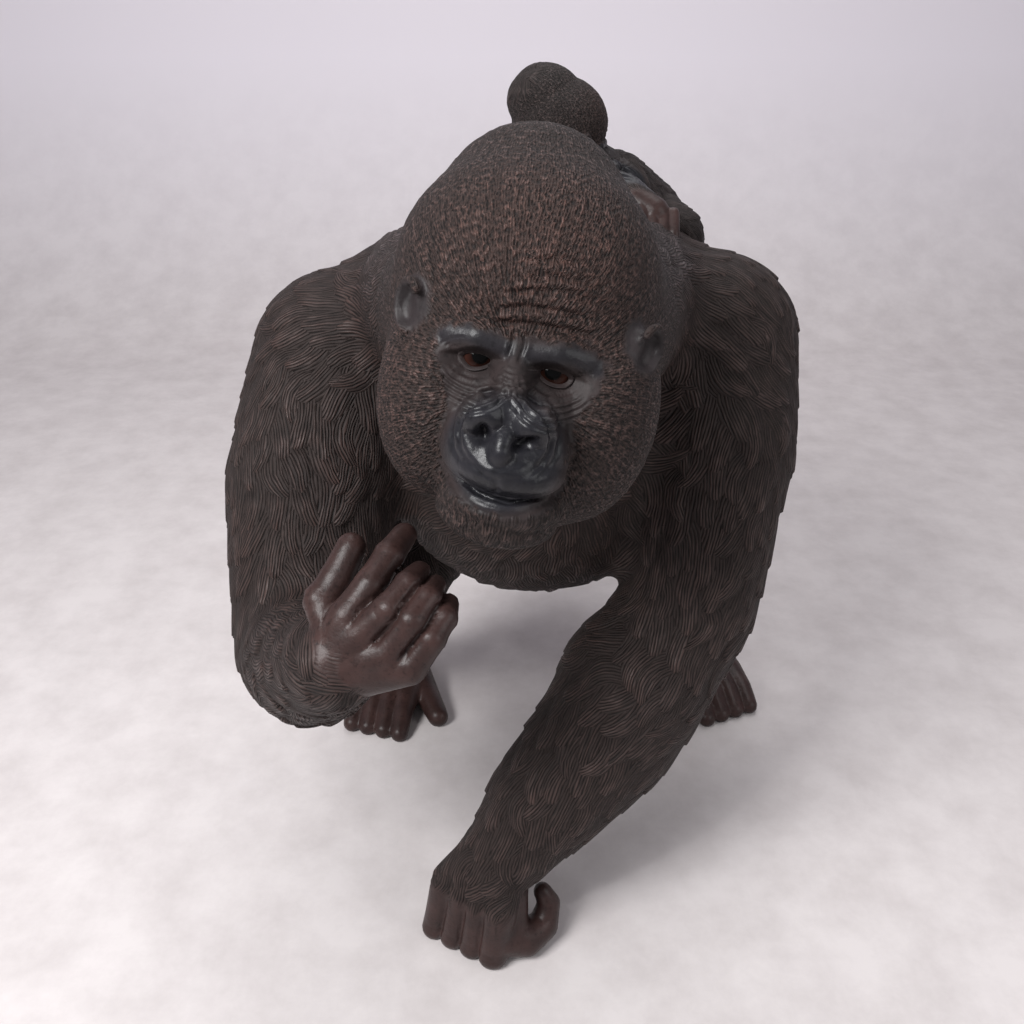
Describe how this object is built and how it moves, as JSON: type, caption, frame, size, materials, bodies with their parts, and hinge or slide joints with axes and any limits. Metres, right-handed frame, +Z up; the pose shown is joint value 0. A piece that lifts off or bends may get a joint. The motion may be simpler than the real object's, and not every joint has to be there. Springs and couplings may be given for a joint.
{
  "type": "gorilla figurine",
  "caption": "Life-size resin figure of a mother gorilla walking on one fist, the other hand raised, a baby riding on her back; stands freely on its fist and feet.",
  "frame": {"origin": "on the floor, under the middle of the whole figure", "axes": "+Z up; the mother faces -Y; her left side is +X"},
  "size_m": [0.7926, 1.1578, 1.0666],
  "materials": {
    "dark_resin": "cast resin painted near black, dry-brushed grey and brown over carved fur, semi-gloss on the face, hands and feet",
    "eye_glass": "polished glass eye, dark amber iris round a black pupil"
  },
  "bodies": {
    "root": {"gorilla_casting": "dark_resin", "right_eye": "eye_glass", "left_eye": "eye_glass", "baby_right_eye": "eye_glass", "baby_left_eye": "eye_glass"}
  },
  "joints": []
}
